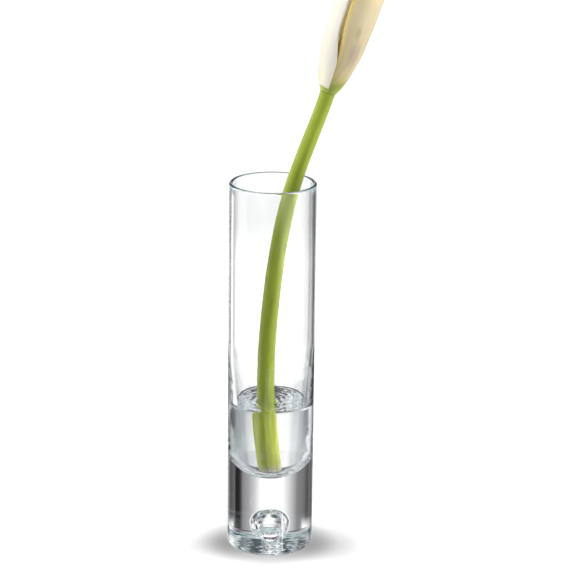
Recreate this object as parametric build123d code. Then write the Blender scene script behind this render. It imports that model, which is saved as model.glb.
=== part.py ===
from build123d import *
import os
from math import asin, atan2, cos, degrees, radians, sin, sqrt, tan

# A glass bud vase with its water and one calla bloom, in millimetres, +Z up.
# The origin is the middle of the flat foot, and -Y is the front.

# Vase: outside
vase_height = 203.0
vase_radius = 23.2
rim_round = 1.05
foot_round = 2.6

# Vase: bore. The tube is straight down to bore_taper_z and then narrows to a round-bottomed bowl.
bore_radius = 21.0
bore_taper_z = 116.0
bowl_floor_z = 40.2
bowl_floor_radius = 18.0
bowl_knuckle_radius = 6.0
bowl_knuckle_reach = 15.9
bowl_wall_lean = 7.0

# Vase: the sealed air bubble in the solid base, an egg that narrows to a tail
bubble_radius = 7.0
bubble_centre_z = 13.6
bubble_top_z = 21.8
bubble_shoulder_radius = 5.6
bubble_shoulder_z = 7.6
bubble_shoulder_way = (-0.55, -1)
bubble_neck_radius = 2.4
bubble_neck_z = 2.6
bubble_tip_z = 0.6
bubble_tip_round = 1.2

# Water
water_level = 80.0
meniscus_rise = 2.2
meniscus_width = 5.0

# Stem: it stands in the bowl, bows to the left and leans on the back right of the rim
stem_foot_radius = 4.9
stem_slim_radius = 3.65
stem_taper_power = 1.6
stem_neck_flare = 0.75
stem_flare_power = 20
stem_foot_x = 0.1
stem_foot_tilt = 6.0
stem_bow_x = -2.9
stem_bow_z = 83.0
stem_middle_x = -0.5
stem_middle_z = 136.0
stem_lean_azimuth = 44.0
stem_rim_tilt = 18.0
stem_neck_tilt = 17.5
stem_above_rim = (16.6, 3.0, 46.5)
stem_sections = 21

# Bloom: a petal rolled into a funnel round its spadix
petal_thickness = 1.1
funnel_shoulder_radius = 8.5
funnel_shoulder_height = 10.0
funnel_body_radius = 11.2
funnel_body_height = 23.0
funnel_waist_radius = 12.6
funnel_waist_height = 44.0
funnel_lip_radius = 17.4
funnel_height = 86.0
funnel_seat_height = 6.0
mouth_front_height = 56.0
mouth_tip_rake = 24.0
slit_start_height = 15.0
slit_top_width = 7.0
slit_azimuth = -12.0
spadix_radius = 2.7
spadix_height = 44.0

# Gaps between pieces
touch_gap = 0.3
water_gap = 0.3


def stem_radius_at(share):
    """Stem radius at a share of its length, from the foot (0) to the neck (1), where it flares."""
    taper = (stem_slim_radius - stem_foot_radius) * share**stem_taper_power
    return stem_foot_radius + taper + stem_neck_flare * share**stem_flare_power


def make_cavity():
    """The space inside the vase: the bore, its taper and the bowl, open past the rim."""
    floor_centre_z = bowl_floor_z + bowl_floor_radius
    knuckle_offset = bowl_knuckle_reach - bowl_knuckle_radius
    floor_turn = asin(knuckle_offset / (bowl_floor_radius - bowl_knuckle_radius))
    knuckle_z = floor_centre_z - (bowl_floor_radius - bowl_knuckle_radius) * cos(floor_turn)
    floor_end = (
        bowl_floor_radius * sin(floor_turn),
        floor_centre_z - bowl_floor_radius * cos(floor_turn),
    )
    wall_turn = radians(90 - bowl_wall_lean)
    knuckle_middle = (floor_turn + wall_turn) / 2
    knuckle_points = [
        (
            knuckle_offset + bowl_knuckle_radius * sin(turn),
            knuckle_z - bowl_knuckle_radius * cos(turn),
        )
        for turn in (knuckle_middle, wall_turn)
    ]
    floor_middle = (
        bowl_floor_radius * sin(floor_turn / 2),
        floor_centre_z - bowl_floor_radius * cos(floor_turn / 2),
    )
    floor_start = (0, bowl_floor_z)
    wall_start = knuckle_points[1]
    bore_start = (bore_radius, bore_taper_z)
    mouth_z = vase_height + bore_radius
    wall_way = (sin(radians(bowl_wall_lean)), cos(radians(bowl_wall_lean)))
    with BuildSketch(Plane.XZ) as profile:
        with BuildLine():
            ThreePointArc(floor_start, floor_middle, floor_end)
            ThreePointArc(floor_end, knuckle_points[0], wall_start)
            Spline(wall_start, bore_start, tangents=(wall_way, (0, 1)))
            Polyline(bore_start, (bore_radius, mouth_z), (0, mouth_z), floor_start)
        make_face()
    return revolve(profile.sketch, Axis.Z)


def make_bubble():
    """The sealed bubble: an egg-shaped top drawn down to a narrow tail with a rounded end."""
    top = (0, bubble_top_z)
    half_height = bubble_top_z - bubble_centre_z
    upper = (
        bubble_radius * sin(radians(45)),
        bubble_centre_z + half_height * cos(radians(45)),
    )
    side = (bubble_radius, bubble_centre_z)
    shoulder = (bubble_shoulder_radius, bubble_shoulder_z)
    neck = (bubble_neck_radius, bubble_neck_z)
    tail_side = (bubble_neck_radius, bubble_tip_z + bubble_tip_round)
    round_middle = (
        bubble_neck_radius - bubble_tip_round * (1 - cos(radians(45))),
        bubble_tip_z + bubble_tip_round * (1 - sin(radians(45))),
    )
    tail_flat = (bubble_neck_radius - bubble_tip_round, bubble_tip_z)
    with BuildSketch(Plane.XZ) as profile:
        with BuildLine():
            Spline(top, upper, side, tangents=((1, 0), (0, -1)))
            Spline(side, shoulder, tangents=((0, -1), bubble_shoulder_way))
            Spline(shoulder, neck, tangents=(bubble_shoulder_way, (0, -1)))
            Line(neck, tail_side)
            ThreePointArc(tail_side, round_middle, tail_flat)
            Polyline(tail_flat, (0, bubble_tip_z), top)
        make_face()
    return revolve(profile.sketch, Axis.Z)


def make_vase_body(cavity):
    """One piece of clear glass: outside, bore and bubble."""
    with BuildSketch(Plane.XZ) as profile:
        with BuildLine():
            Polyline((0, 0), (vase_radius, 0), (vase_radius, vase_height), (0, vase_height), (0, 0))
        make_face()
    blank = revolve(profile.sketch, Axis.Z)
    foot_edge = blank.edges().filter_by(GeomType.CIRCLE).sort_by(Axis.Z)[0]
    blank = fillet(foot_edge, foot_round)
    glass = blank - cavity
    rim_edges = glass.edges().filter_by(GeomType.CIRCLE).group_by(Axis.Z)[-1]
    glass = fillet(rim_edges, rim_round)
    return glass - make_bubble()


def make_stem_path():
    """The middle line of the stem, from its foot in the bowl to the neck under the bloom."""
    floor_reach = stem_foot_radius + stem_foot_x
    floor_rise = bowl_floor_radius - sqrt(bowl_floor_radius**2 - floor_reach**2)
    tilt_drop = stem_foot_radius * sin(radians(stem_foot_tilt))
    foot_z = bowl_floor_z + floor_rise + tilt_drop + touch_gap
    rim_z = vase_height - rim_round
    reach_x, reach_y, reach_z = stem_above_rim
    rim_share = (rim_z - foot_z) / (rim_z + reach_z - foot_z)
    stem_at_rim = stem_radius_at(rim_share) / cos(radians(stem_rim_tilt))
    rim_reach = bore_radius - touch_gap - stem_at_rim
    rim_x = rim_reach * cos(radians(stem_lean_azimuth))
    rim_y = rim_reach * sin(radians(stem_lean_azimuth))
    lean_slope = rim_y / (rim_z - foot_z)
    points = [
        (stem_foot_x, 0, foot_z),
        (stem_bow_x, lean_slope * (stem_bow_z - foot_z), stem_bow_z),
        (stem_middle_x, lean_slope * (stem_middle_z - foot_z), stem_middle_z),
        (rim_x, rim_y, rim_z),
        (rim_x + reach_x, rim_y + reach_y, rim_z + reach_z),
    ]
    foot_way = (-tan(radians(stem_foot_tilt)), 0, 1)
    neck_way = (tan(radians(stem_neck_tilt)), lean_slope, 1)
    return Spline(*points, tangents=(foot_way, neck_way))


def make_stem(path, clearance=0.0):
    """The stem, or with a clearance the room that the water leaves round and under it."""
    shares = [i / (stem_sections - 1) for i in range(stem_sections)]
    sections = [
        Plane(origin=path @ share, z_dir=path % share) * Circle(stem_radius_at(share) + clearance)
        for share in shares
    ]
    if clearance > 0:
        under_foot = Plane(origin=path @ 0 - (path % 0) * stem_foot_radius, z_dir=path % 0)
        sections.insert(0, under_foot * Circle(stem_foot_radius + clearance))
    return loft(sections)


def make_water(cavity, path):
    """Water in the bowl, with a meniscus at the glass and a hole where the stem stands."""
    level_ring = cavity & Pos(0, 0, water_level) * Cylinder(2 * vase_radius, 0.01)
    wall_radius = level_ring.bounding_box().max.X
    edge_start = (wall_radius - meniscus_width, water_level)
    edge_middle = (wall_radius - meniscus_width * 0.3, water_level + meniscus_rise * 0.3)
    edge_end = (wall_radius + 0.5, water_level + meniscus_rise)
    outside = 2 * vase_radius
    with BuildSketch(Plane.XZ) as profile:
        with BuildLine():
            Polyline(edge_start, (0, water_level), (0, 0), (outside, 0), (outside, edge_end[1]), edge_end)
            ThreePointArc(edge_end, edge_middle, edge_start)
        make_face()
    below_surface = revolve(profile.sketch, Axis.Z)
    return (cavity & below_surface) - make_stem(path, water_gap)


def funnel_solid(inset, height):
    """The funnel's outer form drawn in by inset, from its seat on the stem up to height."""
    outline = [
        (stem_radius_at(1), 0),
        (funnel_shoulder_radius, funnel_shoulder_height),
        (funnel_body_radius, funnel_body_height),
        (funnel_waist_radius, funnel_waist_height),
        (funnel_lip_radius, funnel_height),
    ]
    points = [(radius - inset, z) for radius, z in outline]
    with BuildSketch(Plane.XZ) as profile:
        with BuildLine():
            Spline(*points)
            Polyline(points[-1], (0, points[-1][1]), (0, 0), points[0])
        make_face()
    solid = revolve(profile.sketch, Axis.Z)
    if height > 0:
        solid -= Cylinder(3 * funnel_lip_radius, height, align=(Align.CENTER, Align.CENTER, Align.MIN))
    return solid


def make_spathe(seat):
    """The rolled petal: a thin funnel with a slit in front and a mouth that rises to a tip behind."""
    petal = funnel_solid(0, 0) - funnel_solid(petal_thickness, funnel_seat_height)
    block = 6 * funnel_lip_radius
    rise = funnel_height - mouth_front_height
    mouth_slope = degrees(atan2(rise, funnel_lip_radius + funnel_waist_radius))
    for side in (-1, 1):
        over_mouth = Box(block, block, block, align=(Align.CENTER, Align.CENTER, Align.MIN))
        over_mouth = Rot(mouth_slope, side * mouth_tip_rake, 0) * over_mouth
        petal -= Pos(0, funnel_lip_radius, funnel_height) * over_mouth
    slit_points = [
        (0, slit_start_height),
        (slit_top_width / 2, funnel_height),
        (-slit_top_width / 2, funnel_height),
    ]
    with BuildSketch(Plane.XZ) as slit:
        with BuildLine():
            Polyline(*slit_points, slit_points[0])
        make_face()
    petal -= Rot(0, 0, slit_azimuth) * extrude(slit.sketch, 2 * funnel_lip_radius)
    return seat * petal


def make_spadix(seat):
    """The spadix: a round-ended finger that stands on the seat of the funnel."""
    finger = Cylinder(spadix_radius, spadix_height - spadix_radius, align=(Align.CENTER, Align.CENTER, Align.MIN))
    tip = Pos(0, 0, spadix_height - spadix_radius) * Sphere(spadix_radius)
    return seat * Pos(0, 0, funnel_seat_height) * (finger + tip)


def write_parts():
    """Make every piece and write it to parts/NODE.step."""
    cavity = make_cavity()
    path = make_stem_path()
    seat = Plane(origin=path @ 1, x_dir=(1, 0, 0), z_dir=path % 1)
    pieces = {
        "vase_body": make_vase_body(cavity),
        "water": make_water(cavity, path),
        "stem": make_stem(path),
        "spathe": make_spathe(seat),
        "spadix": make_spadix(seat),
    }
    os.makedirs("parts", exist_ok=True)
    for node, piece in pieces.items():
        export_step(piece, f"parts/{node}.step")


write_parts()
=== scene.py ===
from collections import namedtuple
from functools import reduce
from math import asin, cos, exp, pi, radians, sin, sqrt, tan

import bpy
import numpy as np
from bpy.props import FloatProperty, FloatVectorProperty, PointerProperty
from mathutils import Matrix, Vector, noise


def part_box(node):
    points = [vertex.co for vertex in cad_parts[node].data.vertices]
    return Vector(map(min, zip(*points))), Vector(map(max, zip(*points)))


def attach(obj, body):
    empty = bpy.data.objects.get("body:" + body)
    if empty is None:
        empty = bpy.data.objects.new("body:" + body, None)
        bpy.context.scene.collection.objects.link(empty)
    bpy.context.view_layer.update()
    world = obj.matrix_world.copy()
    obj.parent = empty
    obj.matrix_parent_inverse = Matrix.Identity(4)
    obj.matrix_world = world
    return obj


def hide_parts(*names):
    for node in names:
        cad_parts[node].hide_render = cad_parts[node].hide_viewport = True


bl_info = {
    "name": "Glass Bud Vase",
    "version": (1, 0, 0),
    "blender": (4, 5, 0),
    "location": "3D View > Sidebar > Bud Vase",
    "description": "A clear glass bud vase with a bubble in its base, water and one calla bloom",
    "category": "Add Mesh",
}

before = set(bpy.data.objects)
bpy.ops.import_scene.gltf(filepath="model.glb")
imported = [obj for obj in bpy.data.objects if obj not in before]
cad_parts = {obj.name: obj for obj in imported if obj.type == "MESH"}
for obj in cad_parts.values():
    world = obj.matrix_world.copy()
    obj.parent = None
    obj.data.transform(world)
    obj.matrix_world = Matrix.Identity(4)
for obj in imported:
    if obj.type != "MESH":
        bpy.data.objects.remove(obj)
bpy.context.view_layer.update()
VASE_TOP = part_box("vase_body")[1]
MM = 0.001
ON_AXIS = 1e-9


# Settings


class VaseSettings(bpy.types.PropertyGroup):
    """Sizes and finish of the glass."""

    height: FloatProperty(
        name="Height", description="Foot to rim", default=VASE_TOP.z, unit="LENGTH")
    outer_radius: FloatProperty(
        name="Outer radius", description="Outside of the tube", default=VASE_TOP.x, unit="LENGTH")
    bore_radius: FloatProperty(
        name="Bore radius", description="Inside of the straight tube",
        default=21.0 * MM, unit="LENGTH")
    bore_taper_z: FloatProperty(
        name="Taper start", description="Height where the bore starts to narrow",
        default=116.0 * MM, unit="LENGTH")
    rim_round: FloatProperty(
        name="Rim rounding", description="Radius of the fire-polished rim",
        default=1.05 * MM, unit="LENGTH")
    foot_round: FloatProperty(
        name="Foot rounding", description="Radius of the foot's edge", default=2.6 * MM, unit="LENGTH")
    bowl_floor_z: FloatProperty(
        name="Bowl floor", description="Thickness of the solid base",
        default=40.2 * MM, unit="LENGTH")
    bowl_floor_radius: FloatProperty(
        name="Floor curve", description="Radius of the bowl's floor",
        default=18.0 * MM, unit="LENGTH")
    bowl_knuckle_radius: FloatProperty(
        name="Knuckle", description="Radius between floor and wall", default=6.0 * MM, unit="LENGTH")
    bowl_knuckle_reach: FloatProperty(
        name="Knuckle reach", description="How far out the knuckle comes",
        default=15.9 * MM, unit="LENGTH")
    bowl_wall_lean: FloatProperty(
        name="Wall lean", description="Lean of the bowl's wall",
        default=radians(7.0), subtype="ANGLE")
    bubble_radius: FloatProperty(
        name="Bubble radius", description="Widest part of the air bubble",
        default=7.0 * MM, unit="LENGTH")
    bubble_centre_z: FloatProperty(
        name="Bubble height", description="Height of the widest part",
        default=13.6 * MM, unit="LENGTH")
    bubble_top_z: FloatProperty(
        name="Bubble top", description="Height of the bubble's top",
        default=21.8 * MM, unit="LENGTH")
    bubble_shoulder_radius: FloatProperty(
        name="Bubble shoulder", description="Radius where it turns in to the tail",
        default=5.6 * MM, unit="LENGTH")
    bubble_shoulder_z: FloatProperty(
        name="Shoulder height", description="Height where it turns in to the tail",
        default=7.6 * MM, unit="LENGTH")
    bubble_neck_radius: FloatProperty(
        name="Bubble neck", description="Radius of the tail", default=2.4 * MM, unit="LENGTH")
    bubble_neck_z: FloatProperty(
        name="Neck height", description="Height of the tail's neck", default=2.6 * MM, unit="LENGTH")
    bubble_tip_z: FloatProperty(
        name="Tail height", description="Height of the tail's tip", default=0.6 * MM, unit="LENGTH")
    # Painted glow: the teal light the glass emits itself, standing in for light trapped in it.
    painted_edge_glow: FloatVectorProperty(
        name="Edge teal", description="Light that the glass gives back once it is trapped",
        default=(0.120, 0.205, 0.220), subtype="COLOR", min=0.0, max=1.0)
    waviness: FloatProperty(
        name="Waviness", description="Depth of the tube's faint waves", default=0.03, min=0.0)
    dimple_height: FloatProperty(
        name="Dimple height", description="Height of the shallow dimples under the foot",
        default=0.9 * MM, unit="LENGTH")
    wave_height: FloatProperty(
        name="Wave height", description="Height of the waves inside the bowl",
        default=0.025 * MM, unit="LENGTH")


class WaterSettings(bpy.types.PropertyGroup):
    """Level and surface of the water."""

    level: FloatProperty(
        name="Level", description="Height of the flat surface", default=80.0 * MM, unit="LENGTH")
    meniscus_rise: FloatProperty(
        name="Meniscus rise", description="Climb at the glass", default=2.2 * MM, unit="LENGTH")
    meniscus_width: FloatProperty(
        name="Meniscus width", description="Width of the climb", default=2.0 * MM, unit="LENGTH")
    glass_overlap: FloatProperty(
        name="Wetting", description="How far the water's skin reaches into the glass",
        default=0.2 * MM, unit="LENGTH")
    ripple_height: FloatProperty(
        name="Ripple height", description="Height of the surface's ripples",
        default=0.75 * MM, unit="LENGTH")
    ripple_width: FloatProperty(
        name="Ripple width", description="Distance between ripples", default=3.0 * MM, unit="LENGTH")


class FlowerSettings(bpy.types.PropertyGroup):
    """Sizes and colours of the bloom."""

    foot_radius: FloatProperty(
        name="Stem foot", description="Stem radius at the foot", default=4.75 * MM, unit="LENGTH")
    slim_radius: FloatProperty(
        name="Stem slim", description="Stem radius below the neck", default=3.65 * MM, unit="LENGTH")
    taper_power: FloatProperty(
        name="Stem taper", description="How late the stem thins", default=2.4)
    neck_flare: FloatProperty(
        name="Neck flare", description="How much the stem widens into the bloom",
        default=0.45 * MM, unit="LENGTH")
    flare_power: FloatProperty(
        name="Flare length", description="How late the neck widens", default=20.0)
    petal_thickness: FloatProperty(
        name="Petal thickness", description="Thickness of the petal",
        default=0.8 * MM, unit="LENGTH")
    petal_height: FloatProperty(
        name="Petal height", description="From its seat to its tip", default=86.0 * MM, unit="LENGTH")
    spadix_radius: FloatProperty(
        name="Spadix radius", description="Radius of the finger", default=2.7 * MM, unit="LENGTH")
    spadix_height: FloatProperty(
        name="Spadix height", description="Length of the finger",
        default=44.0 * MM, unit="LENGTH")
    stem_green: FloatVectorProperty(
        name="Stem green", description="Main green of the stem", default=(0.37, 0.46, 0.042),
        subtype="COLOR", min=0.0, max=1.0)
    petal_cream: FloatVectorProperty(
        name="Petal cream", description="Main colour of the petal", default=(0.9, 0.82, 0.69),
        subtype="COLOR", min=0.0, max=1.0)
    spadix_yellow: FloatVectorProperty(
        name="Spadix yellow", description="Colour of the finger", default=(1.0, 0.74, 0.12),
        subtype="COLOR", min=0.0, max=1.0)


class StageSettings(bpy.types.PropertyGroup):
    """Camera and studio."""

    camera_distance: FloatProperty(
        name="Camera distance", description="From the vase's axis", default=1.319, unit="LENGTH")
    camera_height: FloatProperty(
        name="Camera height", description="Above the floor", default=0.551, unit="LENGTH")
    camera_side: FloatProperty(
        name="Camera side", description="Sideways from the axis", default=0.0022, unit="LENGTH")
    camera_pitch: FloatProperty(
        name="Pitch", description="Downward tilt", default=radians(17.08), subtype="ANGLE")
    camera_yaw: FloatProperty(
        name="Yaw", description="Turn to the right", default=radians(0.24), subtype="ANGLE")
    camera_roll: FloatProperty(
        name="Roll", description="Roll of the camera", default=radians(0.67), subtype="ANGLE")
    lens: FloatProperty(
        name="Lens", description="Focal length in millimetres", default=163.0, unit="CAMERA")
    floor_radius: FloatProperty(
        name="Floor radius", description="Radius of the pale floor", default=1.6, unit="LENGTH")
    floor_glow: FloatProperty(
        name="Floor glow", description="Light that the floor gives by itself", default=0.79, min=0.0)
    # Depths of the shadow painted on the floor round the foot and at its sides.
    foot_shade: FloatProperty(
        name="Foot shade", description="Depth of the shade round the foot", default=0.38,
        subtype="FACTOR", min=0.0, max=1.0)
    side_shade: FloatProperty(
        name="Side shade", description="Depth of the shade at the foot's left and right",
        default=0.45, subtype="FACTOR", min=0.0, max=1.0)
    soft_light: FloatProperty(
        name="Soft light", description="Strength of the light from all round", default=0.27, min=0.0)
    back_light: FloatProperty(
        name="Back light", description="Strength of the light from behind", default=0.35, min=0.0)
    side_light: FloatProperty(
        name="Side light", description="Strength of the soft lights at both sides", default=6.1, min=0.0)


# Mesh helpers

EDGE_RING = 0.3 * MM


def arc(centre, radius, start, end, steps):
    """Points (r, z) on an arc; angles in radians from the +r direction."""
    turns = [start + (end - start) * i / steps for i in range(steps + 1)]
    return [(centre[0] + radius * cos(t), centre[1] + radius * sin(t)) for t in turns]


def hermite(start, start_way, end, end_way, steps):
    """Points on a cubic between two (r, z) points with unit directions at both ends."""
    chord = sqrt((end[0] - start[0]) ** 2 + (end[1] - start[1]) ** 2)
    points = []
    for i in range(steps + 1):
        t = i / steps
        a = 2 * t**3 - 3 * t**2 + 1
        b = (t**3 - 2 * t**2 + t) * chord
        c = 3 * t**2 - 2 * t**3
        d = (t**3 - t**2) * chord
        points.append(
            tuple(a * start[k] + b * start_way[k] + c * end[k] + d * end_way[k] for k in (0, 1)))
    return points


def unit(r, z):
    """A direction of length one."""
    length = sqrt(r * r + z * z)
    return (r / length, z / length)


def joined(*runs):
    """One outline from runs that share their end points."""
    outline = list(runs[0])
    for run in runs[1:]:
        outline += run[1:]
    return outline


def straight_wall(radius, start_z, end_z, steps):
    """Points up or down a straight wall, with one close to each end to keep the wall's shading flat."""
    edge = EDGE_RING * (1 if end_z > start_z else -1)
    inner = [start_z + edge + (end_z - start_z - 2 * edge) * i / steps for i in range(steps + 1)]
    return [(radius, z) for z in (start_z, *inner, end_z)]


def smooth_step(low, high, value):
    """0 at low, 1 at high and a smooth change between; low may be the larger one."""
    t = min(1.0, max(0.0, (value - low) / (high - low)))
    return t * t * (3 - 2 * t)


def lathe(profile, around):
    """Vertices and faces of a profile turned about Z. A point on the axis is one vertex."""
    vertices = []
    rings = []
    for r, z in profile:
        if r < ON_AXIS:
            rings.append([len(vertices)])
            vertices.append((0.0, 0.0, z))
        else:
            first = len(vertices)
            rings.append(list(range(first, first + around)))
            turns = [2 * pi * i / around for i in range(around)]
            vertices += [(r * cos(t), r * sin(t), z) for t in turns]
    faces = []
    for low, high in zip(rings, rings[1:]):
        for i in range(around):
            j = (i + 1) % around
            if len(low) == 1:
                faces.append((low[0], high[j], high[i]))
            elif len(high) == 1:
                faces.append((low[i], low[j], high[0]))
            else:
                faces.append((low[i], low[j], high[j], high[i]))
    return vertices, faces


def ring_faces(rings, around):
    """Faces between vertices that lie in equal rings, one ring after the other."""
    faces = []
    for i in range(rings - 1):
        for k in range(around):
            j = (k + 1) % around
            faces.append((i * around + k, i * around + j, (i + 1) * around + j, (i + 1) * around + k))
    return faces


def tube(centres, radii, around, bump):
    """Vertices and faces of a closed tube along centres; bump(i, turn) adds to the radius."""
    count = len(centres)
    vertices = []
    side = Vector((1, 0, 0))
    for i, centre in enumerate(centres):
        way = (centres[min(i + 1, count - 1)] - centres[max(i - 1, 0)]).normalized()
        side = (side - way * side.dot(way)).normalized()
        up = way.cross(side)
        for k in range(around):
            turn = 2 * pi * k / around
            radius = radii[i] + bump(i, turn)
            vertices.append(centre + (side * cos(turn) + up * sin(turn)) * radius)
    faces = ring_faces(count, around)
    for ring, inward in ((0, True), (count - 1, False)):
        middle = len(vertices)
        vertices.append(centres[ring])
        for k in range(around):
            pair = (ring * around + k, ring * around + (k + 1) % around)
            faces.append((middle, pair[1], pair[0]) if inward else (middle, pair[0], pair[1]))
    return vertices, faces


def new_piece(name, vertices, faces, material, smooth=True):
    """A mesh object with one material, smooth or flat."""
    mesh = bpy.data.meshes.new(name)
    mesh.from_pydata([tuple(v) for v in vertices], [], faces)
    if mesh.validate():
        raise ValueError(f"{name} has faces that can't be used")
    mesh.polygons.foreach_set("use_smooth", [smooth] * len(mesh.polygons))
    mesh.materials.append(material)
    mesh.update()
    piece = bpy.data.objects.new(name, mesh)
    bpy.context.scene.collection.objects.link(piece)
    return piece


def add_along_map(mesh, pairs):
    """A UV map from one (across, along) pair per vertex."""
    layer = mesh.uv_layers.new(name="along")
    flat = [share for loop in mesh.loops for share in pairs[loop.vertex_index]]
    layer.data.foreach_set("uv", flat)


def dress(piece, body, node):
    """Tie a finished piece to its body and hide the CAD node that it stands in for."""
    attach(piece, body)
    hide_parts(node)


# Material helpers


def tinted(colour, factors):
    """A colour with each of its parts scaled, up to full brightness."""
    return tuple(min(1.0, part * factor) for part, factor in zip(colour, factors))


class Nodes:
    """Short calls for building one node tree."""

    def __init__(self, tree):
        self.tree = tree

    def feed(self, node, inputs):
        """Link or set a node's inputs, by name or number."""
        for key, value in inputs.items():
            socket = node.inputs[key]
            if isinstance(value, bpy.types.NodeSocket):
                self.tree.links.new(value, socket)
            elif socket.type == "RGBA":
                socket.default_value = (*value, 1.0)
            else:
                socket.default_value = value

    def add(self, kind, inputs=None, **settings):
        """A new node with its settings and inputs."""
        node = self.tree.nodes.new(kind)
        for name, value in settings.items():
            setattr(node, name, value)
        self.feed(node, inputs or {})
        return node

    def math(self, operation, *values):
        """The result of one sum."""
        return self.add("ShaderNodeMath", dict(enumerate(values)), operation=operation).outputs[0]

    def product(self, *values):
        """All the values multiplied."""
        return reduce(lambda a, b: self.math("MULTIPLY", a, b), values)

    def vector(self, operation, *values, output="Vector"):
        """The result of one sum of vectors, or the number it gives as "Value"."""
        node = self.add("ShaderNodeVectorMath", dict(enumerate(values)), operation=operation)
        return node.outputs[output]

    def mix(self, share, a, b):
        """The number a, turned into b by a share."""
        return self.add("ShaderNodeMix", {0: share, 2: a, 3: b}).outputs[0]

    def blend(self, share, a, b, mode="MIX"):
        """The colour a, turned into b by a share."""
        inputs = {0: share, 6: a, 7: b}
        return self.add("ShaderNodeMix", inputs, data_type="RGBA", blend_type=mode).outputs[2]

    def fit(self, value, low, high, to=(0.0, 1.0), smooth=False):
        """A value's place between low and high, laid out over another range."""
        kind = "SMOOTHSTEP" if smooth else "LINEAR"
        inputs = {"Value": value, "From Min": low, "From Max": high, "To Min": to[0], "To Max": to[1]}
        return self.add("ShaderNodeMapRange", inputs, interpolation_type=kind, clamp=True).outputs[0]

    def ramp(self, value, stops):
        """Colours at places from 0 to 1, with even blends between them."""
        node = self.add("ShaderNodeValToRGB", {"Fac": value})
        elements = node.color_ramp.elements
        while len(elements) < len(stops):
            elements.new(0.5)
        for element, (place, colour) in zip(elements, stops):
            element.position = place
            element.color = (*colour, 1.0)
        return node.outputs[0]

    def noise(self, place, scale, detail=2.0):
        """Soft random values from 0 to 1."""
        inputs = {"Vector": place, "Scale": scale, "Detail": detail}
        return self.add("ShaderNodeTexNoise", inputs).outputs["Fac"]

    def grey(self, value):
        """One value as all three parts of a colour."""
        return self.add("ShaderNodeCombineXYZ", {0: value, 1: value, 2: value}).outputs[0]

    def bump(self, height, strength, distance):
        """A normal that follows fine heights."""
        inputs = {"Height": height, "Strength": strength, "Distance": distance}
        return self.add("ShaderNodeBump", inputs).outputs[0]

    def object_place(self):
        """The place on a piece, in metres from its own origin."""
        return self.add("ShaderNodeTexCoord").outputs["Object"]

    def along_place(self):
        """The map with shares across and along a piece."""
        return self.add("ShaderNodeUVMap", uv_map="along").outputs[0]

    def split(self, place):
        """A place's parts, by name or in order."""
        return self.add("ShaderNodeSeparateXYZ", {0: place}).outputs

    def group(self, tree, **inputs):
        """A shader node group with its own values, given by socket name with _ for a blank."""
        named = {name.replace("_", " "): value for name, value in inputs.items()}
        return self.add("ShaderNodeGroup", named, node_tree=tree).outputs

    def surface(self, shader):
        """Make a shader the material's surface."""
        self.add("ShaderNodeOutputMaterial", {"Surface": shader.outputs[0]})


def new_material(name):
    """A node material and its empty tree."""
    material = bpy.data.materials.new(name)
    material.use_nodes = True
    material.node_tree.nodes.clear()
    return material, Nodes(material.node_tree)


def new_group(name, inputs, outputs):
    """A shader node group with named sockets, its tree, its incoming values and its end node."""
    group = bpy.data.node_groups.new(name, "ShaderNodeTree")
    for socket, kind, value in inputs:
        made = group.interface.new_socket(name=socket, in_out="INPUT", socket_type=kind)
        if value is not None:
            made.default_value = value
    for socket, kind in outputs:
        group.interface.new_socket(name=socket, in_out="OUTPUT", socket_type=kind)
    nodes = Nodes(group)
    start = nodes.add("NodeGroupInput").outputs
    end = nodes.add("NodeGroupOutput")
    return group, nodes, start, end


def soft_waves_group():
    """Faint long waves, as on blown glass or still water."""
    name = "Soft Waves"
    if name in bpy.data.node_groups:
        return bpy.data.node_groups[name]
    group, nodes, start, end = new_group(
        name,
        [("Scale", "NodeSocketFloat", 60.0), ("Stretch", "NodeSocketFloat", 0.35)],
        [("Height", "NodeSocketFloat"), ("Shade", "NodeSocketColor")],
    )
    stretch = nodes.add("ShaderNodeCombineXYZ", {"X": 1.0, "Y": 1.0, "Z": start["Stretch"]}).outputs[0]
    place = nodes.vector("MULTIPLY", nodes.object_place(), stretch)
    waves = nodes.noise(place, scale=start["Scale"], detail=1.5)
    shade = nodes.ramp(waves, ((0.3, (0.97, 0.985, 0.99)), (0.7, (1.0, 1.0, 1.0))))
    nodes.feed(end, {"Height": waves, "Shade": shade})
    return group


def plant_skin_group():
    """Fine streaks along a length, cells across them and soft mottling, for stem, petal and spadix."""
    name = "Plant Skin"
    if name in bpy.data.node_groups:
        return bpy.data.node_groups[name]
    group, nodes, start, end = new_group(
        name,
        [
            ("Place", "NodeSocketVector", None),
            ("Streaks", "NodeSocketFloat", 60.0),
            ("Length", "NodeSocketFloat", 2.0),
            ("Mottle Scale", "NodeSocketFloat", 150.0),
        ],
        [("Streak", "NodeSocketFloat"), ("Mottle", "NodeSocketFloat"), ("Height", "NodeSocketFloat")],
    )
    scale = nodes.add("ShaderNodeCombineXYZ", {"X": start["Streaks"], "Y": start["Length"], "Z": 1.0})
    along = nodes.vector("MULTIPLY", start["Place"], scale.outputs[0])
    streak = nodes.noise(along, scale=1.0, detail=3.0)
    place = nodes.object_place()
    mottle = nodes.noise(place, scale=start["Mottle Scale"], detail=2.0)
    cells = nodes.add("ShaderNodeTexVoronoi", {"Vector": place, "Scale": 1800.0}).outputs["Distance"]
    height = nodes.math("ADD", streak, nodes.math("MULTIPLY", cells, 0.15))
    nodes.feed(end, {"Streak": streak, "Mottle": mottle, "Height": height})
    return group


# Materials

# Painted glow: the glass emits teal light of its own, standing in for the light it traps: in a band that
# many metres under the rim once a ray has met more surfaces than the rim's depth, and faintly anywhere
# after the wall's depth.
PAINTED_GLOW_BAND = (5.5 * MM, 3.5 * MM)
PAINTED_GLOW_RIM_DEPTH = 1.5
PAINTED_GLOW_WALL_DEPTH = 12.5
PAINTED_GLOW_WALL_SHARE = 0.03

STEM_CUT = (0.85, 0.86, 0.62)
# Painted reflection: a grey that stands in for the stem's colour where it is seen mirrored through
# glass.
PAINTED_STEM_REFLECTION = (0.4, 0.42, 0.36)
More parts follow.
